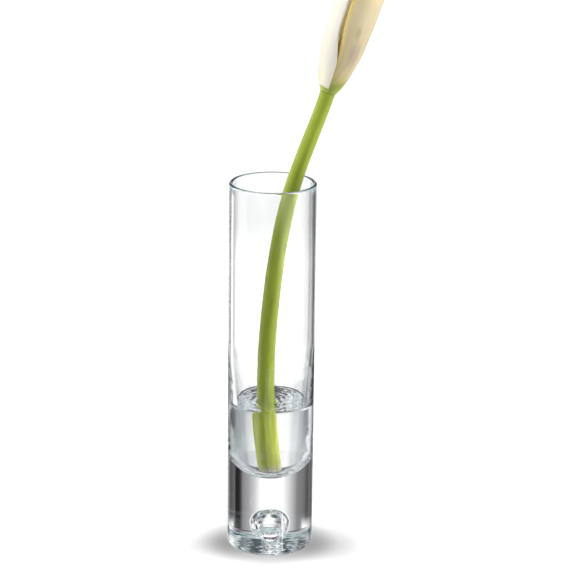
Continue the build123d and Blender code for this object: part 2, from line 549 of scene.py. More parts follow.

# Painted light and shade on the petal, from its left edge, round the back, to its right edge.
PAINTED_FLANK_SHADING = (
    (0.0, 1.14), (0.08, 1.06), (0.2, 0.84), (0.35, 0.90), (0.6, 0.90), (0.72, 0.70), (0.79, 0.80),
    (0.88, 0.96), (1.0, 1.0),
)
# The left flap's colours from the petal's seat up; above them it is the petal's cream.
PALE_FLAP = ((0.0, (0.76, 0.7, 0.44)), (0.06, (0.84, 0.76, 0.58)), (0.25, (0.84, 0.75, 0.62)))
PETAL_GOLD = (0.6, 0.52, 0.2)
PETAL_OCHRE = (0.66, 0.55, 0.3)
MARGIN_GOLD = (1.0, 0.66, 0.22)

# Bruises on the petal: tint of the cream, share across and along, reach, and depth of the colour.
BRUISES = (
    ((0.52, 0.45, 0.42), 0.869, 0.27, 0.075, 1.0),
    ((0.52, 0.5, 0.3), 0.885, 0.41, 0.035, 0.7),
)
BRUISE_STRETCH = 0.55


def clear_glass(vase):
    """Polished clear glass with the faint waves of a blown surface, and a painted teal glow in its rim
    and walls.
    """
    material, nodes = new_material("clear_glass")
    waves = nodes.group(soft_waves_group(), Scale=70.0, Stretch=0.3)
    # Painted glow: teal emission once a ray has met many surfaces, strongest just under the rim.
    depth = nodes.add("ShaderNodeLightPath").outputs["Ray Depth"]
    height = nodes.split(nodes.object_place())["Z"]
    near_rim = nodes.fit(height, vase.height - PAINTED_GLOW_BAND[0], vase.height - PAINTED_GLOW_BAND[1])
    rim_share = nodes.product(nodes.math("GREATER_THAN", depth, PAINTED_GLOW_RIM_DEPTH), near_rim)
    wall_glow_share = nodes.product(nodes.math("GREATER_THAN", depth, PAINTED_GLOW_WALL_DEPTH), PAINTED_GLOW_WALL_SHARE)
    share = nodes.math("MAXIMUM", rim_share, wall_glow_share)
    nodes.surface(nodes.add("ShaderNodeBsdfPrincipled", {
        "Base Color": waves["Shade"],
        "Roughness": 0.0,
        "IOR": 1.5,
        "Transmission Weight": 1.0,
        "Emission Color": nodes.blend(share, (0.0, 0.0, 0.0), vase.painted_edge_glow),
        "Emission Strength": 1.0,
        "Normal": nodes.bump(waves["Height"], strength=vase.waviness, distance=2.0 * MM),
    }))
    return material


def still_water():
    """Clear water with hardly any waves of its own; the ripples are in the mesh."""
    material, nodes = new_material("still_water")
    waves = nodes.group(soft_waves_group(), Scale=160.0, Stretch=1.0)
    nodes.surface(nodes.add("ShaderNodeBsdfPrincipled", {
        "Base Color": waves["Shade"],
        "Roughness": 0.0,
        "IOR": 1.333,
        "Transmission Weight": 1.0,
        "Normal": nodes.bump(waves["Height"], strength=0.02, distance=1.0 * MM),
    }))
    return material


def stem_skin(flower):
    """Waxy green skin with fine streaks along the stem, pale at its cut and where it is soaked; painted
    grey where glass mirrors it.
    """
    material, nodes = new_material("stem_skin")
    place = nodes.along_place()
    skin = nodes.group(plant_skin_group(), Place=place, Streaks=26.0, Length=5.0, Mottle_Scale=90.0)
    green = tuple(flower.stem_green)
    pale = tinted(green, (1.4, 1.25, 2.2))
    deep = tinted(green, (0.8, 0.84, 0.7))
    soaked = tinted(green, (1.45, 1.3, 1.0))
    body = nodes.ramp(nodes.split(place)["Y"], (
        (0.0, STEM_CUT), (0.006, STEM_CUT), (0.03, soaked), (0.14, soaked), (0.19, green), (0.9, green),
        (1.0, deep),
    ))
    streaked = nodes.blend(nodes.fit(skin["Streak"], 0.45, 0.6, to=(0.0, 0.6)), body, deep)
    mottled = nodes.blend(nodes.fit(skin["Mottle"], 0.4, 0.7, to=(0.0, 0.15)), streaked, pale)
    # Painted reflection: seen mirrored after passing glass, the stem is given a neutral grey.
    path = nodes.add("ShaderNodeLightPath").outputs
    painted_reflection = nodes.product(
        nodes.math("GREATER_THAN", path["Glossy Depth"], 0.5),
        nodes.math("GREATER_THAN", path["Transmission Depth"], 0.5))
    nodes.surface(nodes.add("ShaderNodeBsdfPrincipled", {
        "Base Color": nodes.blend(painted_reflection, mottled, PAINTED_STEM_REFLECTION),
        "Roughness": nodes.fit(skin["Mottle"], 0.3, 0.7, to=(0.3, 0.42)),
        "Normal": nodes.bump(skin["Height"], strength=0.12, distance=0.4 * MM),
        "Specular IOR Level": 0.3,
        "Sheen Weight": 0.25,
        "Sheen Roughness": 0.4,
        "Subsurface Weight": 0.1,
        "Subsurface Radius": (0.6, 1.0, 0.15),
        "Subsurface Scale": 2.0 * MM,
    }))
    return material


def petal_colour(nodes, flower, place):
    """Pale left flap, warm right one, green-gold base, gold slit edge, with painted light and shade."""
    across, along = nodes.split(place)[:2]
    cream = tuple(flower.petal_cream)
    green = tuple(flower.stem_green)
    beige = tinted(cream, (0.95, 0.84, 0.64))
    pale_flap = nodes.ramp(along, (*PALE_FLAP, (1.0, cream)))
    # The right flap's beige is partly its own colour and partly painted shade; its green, gold and ochre
    # base is its own.
    warm_flap = nodes.ramp(along, (
        (0.0, green), (0.05, green), (0.1, PETAL_GOLD), (0.16, PETAL_OCHRE), (0.5, beige), (0.9, beige),
        (1.0, cream),
    ))
    colour = nodes.blend(nodes.fit(across, 0.25, 0.6, smooth=True), pale_flap, warm_flap)
    margin = nodes.product(
        nodes.fit(across, 0.97, 0.985, smooth=True), nodes.fit(along, 0.14, 0.2, smooth=True))
    colour = nodes.blend(margin, colour, MARGIN_GOLD)
    # Painted light and shade: lighter by the slit, darker at the left edge, the back and the right flap.
    painted_flank = nodes.ramp(across, [(share, (tone, tone, tone)) for share, tone in PAINTED_FLANK_SHADING])
    return nodes.blend(1.0, colour, painted_flank, "MULTIPLY")


def bruised(nodes, flower, place, colour):
    """The petal's colour with its soft bruises."""
    bruise_place = nodes.vector("MULTIPLY", place, (1.0, BRUISE_STRETCH, 0.0))
    for tint, across, along, reach, depth in BRUISES:
        centre = (across, along * BRUISE_STRETCH, 0.0)
        away = nodes.vector("DISTANCE", bruise_place, centre, output="Value")
        share = nodes.fit(away, reach, reach * 0.2, to=(0.0, depth), smooth=True)
        colour = nodes.blend(share, colour, tinted(flower.petal_cream, tint))
    return colour


def petal_skin(flower):
    """Cream petal with fine veins, mottling and bruises, which lets some light through."""
    material, nodes = new_material("petal_skin")
    place = nodes.along_place()
    skin = nodes.group(plant_skin_group(), Place=place, Streaks=70.0, Length=2.2, Mottle_Scale=60.0)
    beige = tinted(flower.petal_cream, (0.95, 0.84, 0.64))
    colour = bruised(nodes, flower, place, petal_colour(nodes, flower, place))
    streaked = nodes.blend(nodes.fit(skin["Streak"], 0.45, 0.7, to=(0.0, 0.3)), colour, beige)
    mottled = nodes.blend(nodes.fit(skin["Mottle"], 0.45, 0.75, to=(0.0, 0.2)), streaked, beige)
    nodes.surface(nodes.add("ShaderNodeBsdfPrincipled", {
        "Base Color": mottled,
        "Roughness": nodes.fit(skin["Mottle"], 0.3, 0.7, to=(0.42, 0.55)),
        "Normal": nodes.bump(skin["Height"], strength=0.15, distance=0.5 * MM),
        "Subsurface Weight": 0.85,
        "Subsurface Radius": (1.0, 0.92, 0.75),
        "Subsurface Scale": 3.0 * MM,
    }))
    return material


def spadix_skin(flower):
    """Powdery yellow finger of tiny florets."""
    material, nodes = new_material("spadix_skin")
    place = nodes.object_place()
    skin = nodes.group(plant_skin_group(), Place=place, Streaks=900.0, Length=900.0, Mottle_Scale=400.0)
    deep = tinted(flower.spadix_yellow, (0.75, 0.6, 0.5))
    nodes.surface(nodes.add("ShaderNodeBsdfPrincipled", {
        "Base Color": nodes.blend(nodes.fit(skin["Mottle"], 0.35, 0.65), flower.spadix_yellow, deep),
        "Roughness": nodes.fit(skin["Streak"], 0.3, 0.7, to=(0.6, 0.85)),
        "Normal": nodes.bump(skin["Height"], strength=0.4, distance=0.3 * MM),
    }))
    return material


# Glass and water outlines


def bowl_outline(vase):
    """The bore's outline from the middle of the bowl's floor up to the straight tube."""
    floor_centre_z = vase.bowl_floor_z + vase.bowl_floor_radius
    knuckle_r = vase.bowl_knuckle_reach - vase.bowl_knuckle_radius
    floor_turn = asin(knuckle_r / (vase.bowl_floor_radius - vase.bowl_knuckle_radius))
    knuckle_z = floor_centre_z - (vase.bowl_floor_radius - vase.bowl_knuckle_radius) * cos(floor_turn)
    floor = arc((0.0, floor_centre_z), vase.bowl_floor_radius, -pi / 2, -pi / 2 + floor_turn, 24)
    knuckle = arc(
        (knuckle_r, knuckle_z), vase.bowl_knuckle_radius, -pi / 2 + floor_turn, -vase.bowl_wall_lean, 20)
    wall_way = (sin(vase.bowl_wall_lean), cos(vase.bowl_wall_lean))
    wall = hermite(knuckle[-1], wall_way, (vase.bore_radius, vase.bore_taper_z), (0.0, 1.0), 120)
    return joined(floor, knuckle, wall)


def bubble_outline(vase):
    """The bubble's outline from its top down to the tip of its tail."""
    rise = (vase.bubble_top_z - vase.bubble_centre_z) / vase.bubble_radius
    circle = arc((0.0, 0.0), vase.bubble_radius, pi / 2, 0.0, 24)
    top = [(r, vase.bubble_centre_z + z * rise) for r, z in circle]
    shoulder = (vase.bubble_shoulder_radius, vase.bubble_shoulder_z)
    neck = (vase.bubble_neck_radius, vase.bubble_neck_z)
    down = (0.0, -1.0)
    turned_in = unit(-0.55, -1.0)
    nearly_down = unit(-0.1, -1.0)
    tail_round = 0.5 * vase.bubble_neck_radius
    tail_z = vase.bubble_tip_z + tail_round
    return joined(
        top,
        hermite(top[-1], down, shoulder, turned_in, 14),
        hermite(shoulder, turned_in, neck, nearly_down, 14),
        hermite(neck, nearly_down, (vase.bubble_neck_radius, tail_z), down, 6),
        arc((tail_round, tail_z), tail_round, 0.0, -pi / 2, 6),
        [(tail_round, vase.bubble_tip_z), (0.0, vase.bubble_tip_z)],
    )


def widened(outline, by):
    """The outline moved outwards by a small distance along its own normals."""
    moved = []
    for i, (r, z) in enumerate(outline):
        before = outline[max(i - 1, 0)]
        after = outline[min(i + 1, len(outline) - 1)]
        way = unit(after[0] - before[0], after[1] - before[1])
        moved.append((r + way[1] * by if r > ON_AXIS else 0.0, z - way[0] * by))
    return moved


# Glass

GLASS_AROUND = 288
BLOWN_WAVE_WIDTH = 3.2 * MM
BLOWN_WAVE_STRETCH = 0.8
# Heights over the taper's start where the blown waves begin and where they are whole.
BLOWN_WAVE_FADE = (6 * MM, -14 * MM)
FOOT_DIMPLE_WIDTH = 5.0 * MM


def two_waves(place, fine_share):
    """Smooth random swell with a finer one on top."""
    return noise.noise(place) + fine_share * noise.noise(place * 2.3)


def blown_wave(vase, x, y, z):
    """How far the bowl's blown surface lies off its true round, fading out up the tube."""
    fade = smooth_step(*BLOWN_WAVE_FADE, z - vase.bore_taper_z)
    place = Vector((x, y, z * BLOWN_WAVE_STRETCH)) / BLOWN_WAVE_WIDTH
    return vase.wave_height * fade * two_waves(place, 0.2)


def with_blown_waves(vase, vertices):
    """A bowl's vertices moved in or out by the blown surface's waves."""
    moved = []
    for x, y, z in vertices:
        r = sqrt(x * x + y * y)
        if r > ON_AXIS:
            k = 1 + blown_wave(vase, x, y, z) * min(1.0, r / vase.bowl_knuckle_radius) / r
            x, y = x * k, y * k
        moved.append((x, y, z))
    return moved


def with_foot_dimples(vase, vertices):
    """The outside's vertices raised by the foot's shallow dimples, which fade out up its round edge."""
    moved = []
    for x, y, z in vertices:
        fade = smooth_step(vase.foot_round, 0.2 * vase.foot_round, z)
        swell = two_waves(Vector((x, y, 0.0)) / FOOT_DIMPLE_WIDTH, 0.4)
        moved.append((x, y, z + fade * vase.dimple_height * swell * swell))
    return moved


def outside_outline(vase):
    """The glass from the foot's middle, up the outside, over the rim and down to the taper."""
    foot_r = vase.outer_radius - vase.foot_round
    rim_z = vase.height - vase.rim_round
    rim_outside = arc((vase.outer_radius - vase.rim_round, rim_z), vase.rim_round, 0.0, pi / 2, 8)
    rim_inside = arc((vase.bore_radius + vase.rim_round, rim_z), vase.rim_round, pi / 2, pi, 8)
    return joined(
        [(foot_r * i / 40, 0.0) for i in range(41)],
        arc((foot_r, vase.foot_round), vase.foot_round, -pi / 2, 0.0, 12),
        straight_wall(vase.outer_radius, vase.foot_round, rim_z, 24),
        rim_outside,
        [rim_outside[-1]] + rim_inside,
        straight_wall(vase.bore_radius, rim_z, vase.bore_taper_z, 16),
    )


def make_glass(scene):
    """The vase: one solid of glass with a sealed bubble in its base."""
    vase = scene.bud_vase_glass
    outside = outside_outline(vase)
    outside_count = len(lathe(outside, GLASS_AROUND)[0])
    vertices, faces = lathe(joined(outside, bowl_outline(vase)[::-1]), GLASS_AROUND)
    vertices = (with_foot_dimples(vase, vertices[:outside_count])
                + with_blown_waves(vase, vertices[outside_count:]))
    bubble_vertices, bubble_faces = lathe(bubble_outline(vase), GLASS_AROUND)
    faces += [tuple(len(vertices) + k for k in face) for face in bubble_faces]
    glass = new_piece("vase_glass", vertices + bubble_vertices, faces, clear_glass(vase))
    dress(glass, "vase", "vase_body")


# Water

WATER_AROUND = 256
WATER_RINGS = 60
EDGE_LEAN = radians(4.0)
STEM_CLIMB = 0.9 * MM
STEM_CLIMB_WIDTH = 1.1 * MM
RING_REACH = 9 * MM
RING_SHARE = 0.6
CALM_EDGE = 2 * MM


def ripple(water, level_radius, stem_place, stem_r, x, y):
    """How far the water's surface is lifted by its climb at the stem, its swell and its rings."""
    from_stem = max(0.0, (Vector((x, y)) - stem_place).length - stem_r)
    climb = STEM_CLIMB * exp(-from_stem / STEM_CLIMB_WIDTH)
    calm = min(1.0, (level_radius - sqrt(x * x + y * y)) / CALM_EDGE)
    swell = noise.noise(Vector((x, y, 0.0)) / water.ripple_width)
    ring = sin(2 * pi * from_stem / water.ripple_width) * exp(-from_stem / RING_REACH)
    return climb + calm * water.ripple_height * (swell + RING_SHARE * ring)


def make_water(scene):
    """The water in the bowl, with its meniscus and ripples."""
    vase = scene.bud_vase_glass
    water = scene.bud_vase_water
    bowl = bowl_outline(vase)
    level_radius = np.interp(water.level, [z for r, z in bowl], [r for r, z in bowl])
    top_z = water.level + water.meniscus_rise
    wet = [(r, z) for r, z in bowl if z < water.level - vase.bowl_knuckle_radius]
    wet.append((level_radius, water.level))
    wet.append((level_radius + water.meniscus_rise * tan(EDGE_LEAN), top_z))
    skin = widened(wet, water.glass_overlap)
    surface = [skin[-1]]
    for i in range(1, WATER_RINGS + 1):
        r = skin[-1][0] * (1 - i / WATER_RINGS)
        from_wall = max(0.0, level_radius - r)
        surface.append((r, water.level + water.meniscus_rise * exp(-from_wall / water.meniscus_width)))
    vertices, faces = lathe(joined(skin, surface), WATER_AROUND)
    skin_count = len(lathe(skin, WATER_AROUND)[0])
    vertices = with_blown_waves(vase, vertices[:skin_count]) + vertices[skin_count:]
    stem_place, stem_r = stem_at_height(scene, water.level)
    for n, (x, y, z) in enumerate(vertices):
        if z >= water.level - 0.5 * MM and sqrt(x * x + y * y) <= level_radius - 0.3 * MM:
            vertices[n] = (x, y, z + ripple(water, level_radius, stem_place, stem_r, x, y))
    piece = new_piece("water_body", vertices, faces, still_water())
    dress(piece, "vase", "water")


# Stem

STEM_STEPS = 220
STEM_AROUND = 64
STEM_RIBS = 11
RIB_HEIGHT = 0.025 * MM
UNEVENNESS = 0.06 * MM
TOUCH_GAP = 0.3 * MM
FOOT_X = 0.1 * MM
FOOT_TILT = radians(6.0)
RIM_TILT = radians(18.0)
NECK_TILT = radians(17.5)
RIM_LEAN = radians(44.0)
NECK_REACH = Vector((16.6, 3.0, 46.5)) * MM
# Where the stem bows between foot and rim: sideways and up.
BOWS = ((-2.9 * MM, 83.0 * MM), (-0.5 * MM, 136.0 * MM))


def stem_radius(flower, share):
    """Stem radius at a share of its length from the foot."""
    taper = (flower.slim_radius - flower.foot_radius) * share**flower.taper_power
    return flower.foot_radius + taper + flower.neck_flare * share**flower.flare_power


def stem_points(scene):
    """The points that the stem's middle line passes through, and its way at both ends."""
    vase = scene.bud_vase_glass
    flower = scene.bud_vase_flower
    floor_reach = flower.foot_radius + FOOT_X
    floor_rise = vase.bowl_floor_radius - sqrt(vase.bowl_floor_radius**2 - floor_reach**2)
    foot_z = vase.bowl_floor_z + floor_rise + flower.foot_radius * sin(FOOT_TILT) + TOUCH_GAP
    rim_z = vase.height - vase.rim_round
    rim_share = (rim_z - foot_z) / (rim_z + NECK_REACH.z - foot_z)
    rim_reach = vase.bore_radius - TOUCH_GAP - stem_radius(flower, rim_share) / cos(RIM_TILT)
    rim = Vector((rim_reach * cos(RIM_LEAN), rim_reach * sin(RIM_LEAN), rim_z))
    slope = rim.y / (rim_z - foot_z)
    points = [
        Vector((FOOT_X, 0.0, foot_z)),
        *(Vector((x, slope * (z - foot_z), z)) for x, z in BOWS),
        rim,
        rim + NECK_REACH,
    ]
    foot_way = Vector((-tan(FOOT_TILT), 0.0, 1.0)).normalized()
    neck_way = Vector((tan(NECK_TILT), slope, 1.0)).normalized()
    return points, foot_way, neck_way


def stem_line(scene, steps):
    """Evenly parted points on a smooth cubic through the stem's points."""
    points, foot_way, neck_way = stem_points(scene)
    places = np.array([tuple(p) for p in points])
    knots = np.concatenate([[0.0], np.cumsum(np.linalg.norm(np.diff(places, axis=0), axis=1))])
    count = len(places)
    gaps = np.diff(knots)
    system = np.zeros((count, count))
    target = np.zeros((count, 3))
    system[0, 0] = system[-1, -1] = 1.0
    target[0] = foot_way
    target[-1] = neck_way
    for i in range(1, count - 1):
        before, after = gaps[i - 1], gaps[i]
        system[i, i - 1 : i + 2] = (after, 2 * (before + after), before)
        slope_before = (places[i] - places[i - 1]) / before
        slope_after = (places[i + 1] - places[i]) / after
        target[i] = 3 * (slope_before * after + slope_after * before)
    ways = np.linalg.solve(system, target)
    line = []
    for share in np.linspace(0, knots[-1], steps + 1):
        i = min(int(np.searchsorted(knots, share, side="right")) - 1, count - 2)
        h = gaps[i]
        t = (share - knots[i]) / h
        line.append(
            (2 * t**3 - 3 * t**2 + 1) * places[i]
            + (t**3 - 2 * t**2 + t) * h * ways[i]
            + (3 * t**2 - 2 * t**3) * places[i + 1]
            + (t**3 - t**2) * h * ways[i + 1]
        )
    return [Vector(p) for p in line]


def stem_at_height(scene, z):
    """(x, y) of the stem's middle and its radius where it passes a height."""
    line = stem_line(scene, 200)
    nearest = min(range(len(line)), key=lambda i: abs(line[i].z - z))
    place = line[nearest]
    return Vector((place.x, place.y)), stem_radius(scene.bud_vase_flower, nearest / (len(line) - 1))


def stem_bump(i, turn):
    """The stem's fine ribs and uneven growth at one step of its length."""
    uneven = noise.noise(Vector((cos(turn) * 0.8, sin(turn) * 0.8, i * 0.05)))
    return UNEVENNESS * uneven + RIB_HEIGHT * cos(STEM_RIBS * turn)


def make_stem(scene):
    """The curved stem, a little uneven, with fine ribs and a cut foot."""
    flower = scene.bud_vase_flower
    shares = [i / STEM_STEPS for i in range(STEM_STEPS + 1)]
    radii = [stem_radius(flower, share) for share in shares]
    vertices, faces = tube(stem_line(scene, STEM_STEPS), radii, STEM_AROUND, stem_bump)
    piece = new_piece("calla_stem", vertices, faces, stem_skin(flower))
    pairs = [(k / STEM_AROUND, share) for share in shares for k in range(STEM_AROUND)]
    add_along_map(piece.data, pairs + [(0.5, 0.0), (0.5, 1.0)])
    dress(piece, "flower", "stem")


# Bloom, with its sizes in millimetres and its turns in degrees

FUNNEL_HEIGHTS = (0.0, 3.0, 6.5, 10.0, 16.0, 23.0, 30.0, 40.0, 48.0, 62.0, 86.0)
FUNNEL_RADII = (4.3, 5.9, 7.4, 8.5, 9.9, 11.2, 11.8, 12.4, 12.6, 13.3, 14.0)
PETAL_ACROSS = 150
PETAL_ALONG = 110
FLANK_TOP = 57.0
LEFT_EDGE_BOTTOM = 2.6
LEFT_EDGE_SHARES = (0.08, 0.3)
TIP_POWER = 1.25
# The turn of each edge of the petal: where it starts, and its bends as (turn, from height, to height).
LEFT_EDGE = (6, ((20, 14, 36), (20, 50, 60)))
RIGHT_EDGE = (394, ((-28, 0, 22), (96, 9, 2), (11, 14, 40), (-36, 50, 60)))
# How far the rolled edges lie apart, the heights over which that grows, and where it shrinks again.
ROLL_STEP = 1.1
ROLL_GROWS = (-1, 5)
ROLL_SHRINKS = (14, 42)
ROLL_SHRINKS_BY = 0.6
# The lip: the shares along the petal where it curls out and droops.
LIP_CURLS = (0.86, 1.0)
LIP_DROOPS = (0.9, 1.0)
LIP_DROOP = 0.8

SPADIX_BASE = 6.0
SPADIX_RINGS = 180
SPADIX_AROUND = 96
FLORETS = 620
FLORET_REACH = 0.62 * MM
FLORET_HEIGHT = 0.28 * MM
FLORET_SINK = 0.25 * MM
BALD_TIP = 0.5 * MM


def seat_matrix(scene):
    """The bloom's own frame: its origin on the stem's top and Z along the stem."""
    points, _, z_way = stem_points(scene)
    x_way = (Vector((1, 0, 0)) - z_way * z_way.x).normalized()
    y_way = z_way.cross(x_way)
    turn = Matrix((x_way, y_way, z_way)).transposed().to_4x4()
    return Matrix.Translation(points[-1]) @ turn


def edge_turn(edge, height):
    """The turn of an edge of the petal at a height, in radians."""
    start, bends = edge
    return radians(start + sum(turn * smooth_step(low, high, height) for turn, low, high in bends))


def petal_point(petal_height, across, along):
    """A point of the petal in the bloom's frame, from its share across and along the petal."""
    from_tip = abs(2 * across - 1)
    top = FLANK_TOP + (petal_height - FLANK_TOP) * (1 - from_tip) ** TIP_POWER
    bottom = LEFT_EDGE_BOTTOM * (1 - smooth_step(*LEFT_EDGE_SHARES, across))
    height = bottom + (top - bottom) * along
    left_turn = edge_turn(LEFT_EDGE, height)
    turn = left_turn + (edge_turn(RIGHT_EDGE, height) - left_turn) * across
    step = ROLL_STEP * (1 - ROLL_SHRINKS_BY * smooth_step(*ROLL_SHRINKS, height))
    roll = (0.5 - across) * step * smooth_step(*ROLL_GROWS, height)
    curl = (0.2 + 0.4 * from_tip) * smooth_step(*LIP_CURLS, along)
    radius = float(np.interp(height, FUNNEL_HEIGHTS, FUNNEL_RADII)) + roll + curl
    droop = LIP_DROOP * smooth_step(*LIP_DROOPS, along) * from_tip
    return Vector((-radius * sin(turn), -radius * cos(turn), height - droop))


def make_petal(scene):
    """The spathe: one petal rolled into a funnel, open in front and drawn up to a tip behind."""
    flower = scene.bud_vase_flower
    petal_height = flower.petal_height / MM
    seat = seat_matrix(scene)
    vertices = []
    pairs = []
    for j in range(PETAL_ALONG + 1):
        for i in range(PETAL_ACROSS + 1):
            across = i / PETAL_ACROSS
            point = petal_point(petal_height, across, j / PETAL_ALONG)
            vertices.append(seat @ (point * MM))
            pairs.append((across, point.z / petal_height))
    row = PETAL_ACROSS + 1
    faces = [
        (j * row + i + 1, j * row + i, (j + 1) * row + i, (j + 1) * row + i + 1)
        for j in range(PETAL_ALONG)
        for i in range(PETAL_ACROSS)
    ]
    piece = new_piece("calla_spathe", vertices, faces, petal_skin(flower))
    add_along_map(piece.data, pairs)
    thicken = piece.modifiers.new("thickness", "SOLIDIFY")
    thicken.thickness = flower.petal_thickness
    thicken.offset = -1.0
    dress(piece, "flower", "spathe")


def make_spadix(scene):
    """The spadix: a finger covered with small round florets."""
    flower = scene.bud_vase_flower
    seat = seat_matrix(scene)
    straight = flower.spadix_height - flower.spadix_radius
    golden = pi * (3 - sqrt(5))
    floret_heights = np.array([(k + 0.5) / FLORETS for k in range(FLORETS)]) * flower.spadix_height
    floret_turns = np.array([(golden * k) % (2 * pi) for k in range(FLORETS)])
    vertices = []
    for i in range(SPADIX_RINGS + 1):
        height = flower.spadix_height * i / SPADIX_RINGS
        past = max(0.0, height - straight)
        radius = max(sqrt(max(0.0, flower.spadix_radius**2 - past**2)) - FLORET_SINK, 0.0)
        for k in range(SPADIX_AROUND):
            turn = 2 * pi * k / SPADIX_AROUND
            gap_turn = np.abs((floret_turns - turn + pi) % (2 * pi) - pi) * flower.spadix_radius
            nearest = np.sqrt(np.min(gap_turn**2 + (floret_heights - height) ** 2))
            bulge = FLORET_HEIGHT * max(0.0, 1 - (nearest / FLORET_REACH) ** 2)
            r = radius + bulge * min(1.0, radius / BALD_TIP)
            vertices.append(seat @ Vector((r * cos(turn), r * sin(turn), SPADIX_BASE * MM + height)))
    faces = ring_faces(SPADIX_RINGS + 1, SPADIX_AROUND)
    faces.append(tuple(reversed(range(SPADIX_AROUND))))
    faces.append(tuple(SPADIX_RINGS * SPADIX_AROUND + k for k in range(SPADIX_AROUND)))
    piece = new_piece("calla_spadix", vertices, faces, spadix_skin(flower))
    dress(piece, "flower", "spadix")


# Stage

# Brightness of the studio's walls by azimuth in degrees: 0 is straight behind the vase, 90 its right.
# Each table is what clear glass bends into view at one range of heights, from floor to ceiling.
WALL_DOWN = (
    (-180, 1.20), (-80, 1.20), (-60, 0.10), (-44, 0.10), (-38, 0.80), (-28, 0.80), (-22, 0.05),
    (22, 0.05), (28, 0.80), (38, 0.80), (44, 0.10), (60, 0.10), (80, 1.20), (180, 1.20),
)
WALL_STEEP = (
    (-180, 0.05), (-62, 0.30), (-58, 1.25), (-32, 1.25), (-28, 0.55), (-20, 0.60), (-12, 1.00),
    (-2, 1.00), (10, 0.85), (18, 0.42), (27, 0.38), (33, 0.60), (40, 0.60), (46, 0.10),
    (52, 0.60), (66, 1.20), (180, 0.05),
)
WALL_FOOT = (
    (-180, 0.05), (-162, 0.03), (-150, 0.50), (-120, 0.70), (-95, 0.75), (-88, 0.10), (-72, 0.40),
    (-64, 1.10), (-42, 1.10), (-37, 0.25), (-31, 0.20), (-23, 0.52), (-10, 1.15), (8, 1.15),
    (15, 0.64), (22, 0.38), (30, 0.24), (34, 0.02), (47, 0.05), (52, 1.10), (72, 1.10),
    (85, 0.85), (118, 1.25), (148, 1.25), (156, 1.00), (162, 0.05), (180, 0.03),
)
WALL_LOW = (
    (-180, 0.05), (-162, 0.03), (-150, 0.50), (-120, 0.70), (-95, 0.75), (-88, 0.10), (-62, 0.17),
    (-53, 0.08), (-46, 0.14), (-31, 0.20), (-23, 0.52), (-10, 1.15), (8, 1.15), (15, 0.64),
    (22, 0.38), (30, 0.24), (34, 0.02), (44, 0.00), (47, 0.16), (52, 0.12), (65, 0.10),
    (72, 0.40), (85, 0.85), (118, 1.25), (148, 1.25), (156, 1.00), (162, 0.05), (180, 0.03),
)
WALL_MIDDLE = (
    (-180, 0.02), (-110, 0.10), (-102, 1.00), (-80, 1.00), (-65, 1.00), (-52, 1.00), (-45, 0.70),
    (-40, 0.50), (-35, 0.20), (-30, 0.02), (-20, 0.02), (-17, 0.80), (-13, 1.33), (6, 1.33),
    (9, 0.95), (13, 0.72), (19, 0.05), (29, 0.02), (34, 0.22), (40, 0.45), (48, 0.80), (55, 1.05),
    (62, 1.20), (68, 1.20), (78, 0.70), (100, 0.60), (112, 1.10), (120, 1.25), (150, 1.20),
    (160, 0.40), (170, 0.02), (180, 0.02),
)
WALL_UPPER = (
    (-180, 0.02), (-110, 0.10), (-102, 1.00), (-80, 0.90), (-65, 0.50), (-55, 0.80), (-45, 0.35),
    (-35, 0.32), (-28, 0.05), (-20, 0.20), (-15, 0.80), (-8, 1.02), (-3, 1.10), (3, 1.10),
    (8, 1.02), (12, 0.55), (19, 0.12), (29, 0.05), (34, 0.15), (42, 0.30), (50, 0.60), (62, 0.90),
    (78, 0.50), (100, 0.50), (112, 1.10), (120, 1.25), (150, 1.20), (160, 0.40), (170, 0.02),
    (180, 0.02),
)
WALL_LEVEL = (
    (-180, 0.05), (-110, 0.30), (-102, 1.25), (-78, 1.25), (-70, 0.20), (-60, 0.10), (-50, 0.60),
    (-30, 0.50), (-14, 0.60), (-8, 1.33), (8, 1.33), (14, 0.60), (24, 0.35), (32, 0.08),
    (42, 0.50), (50, 1.20), (60, 1.00), (80, 0.80), (115, 0.80), (120, 1.25), (150, 1.25),
    (160, 0.60), (180, 0.20),
)
WALL_HIGH = (
    (-180, 0.90), (-165, 0.80), (-150, 0.40), (-130, 0.20), (-90, 0.30), (-66, 0.45), (-56, 0.20),
    (-45, 0.02), (-36, 0.05), (-30, 0.40), (-26, 0.40), (-21, 0.04), (-14, 0.10), (-8, 0.80),
    (-4, 1.10), (1, 1.00), (6, 0.20), (11, 0.06), (17, 0.06), (25, 0.30), (35, 0.12), (43, 0.60),
    (52, 0.95), (62, 0.90), (75, 0.50), (110, 0.85), (140, 0.40), (155, 0.40), (168, 0.95),
    (180, 0.90),
)

COOL = (0.86, 0.95, 1.0)
LILAC = (0.97, 0.96, 1.0)
BLUE = (0.7, 0.92, 1.0)
CEILING = (0.6, 0.7, 0.74)

# The walls above the steep one: brightness, tint, and the heights in degrees over which each begins.
UPPER_WALLS = (
    (WALL_FOOT, COOL, -25.0, -24.0),
    (WALL_LOW, LILAC, -22.4, -22.1),
    (WALL_MIDDLE, LILAC, -20.5, -18.5),
    (WALL_UPPER, LILAC, -16.6, -15.6),
    (WALL_LEVEL, LILAC, -11.0, -8.0),
    (WALL_HIGH, BLUE, 4.0, 8.0),
)
# One bright strip: its place and half its size in degrees, and its light.
STRIP_AZIMUTH, STRIP_HALF_WIDTH = 145.0, 1.5
STRIP_HEIGHT, STRIP_HALF_HEIGHT = -22.1, 0.9
STRIP_GLOW = (10.0, 10.0, 10.0)
# Panes in the steep wall's sides: how fast they follow each other, and their darkest and lightest.
PANES = 10.0
PANE_TONES = (0.05, 1.25)

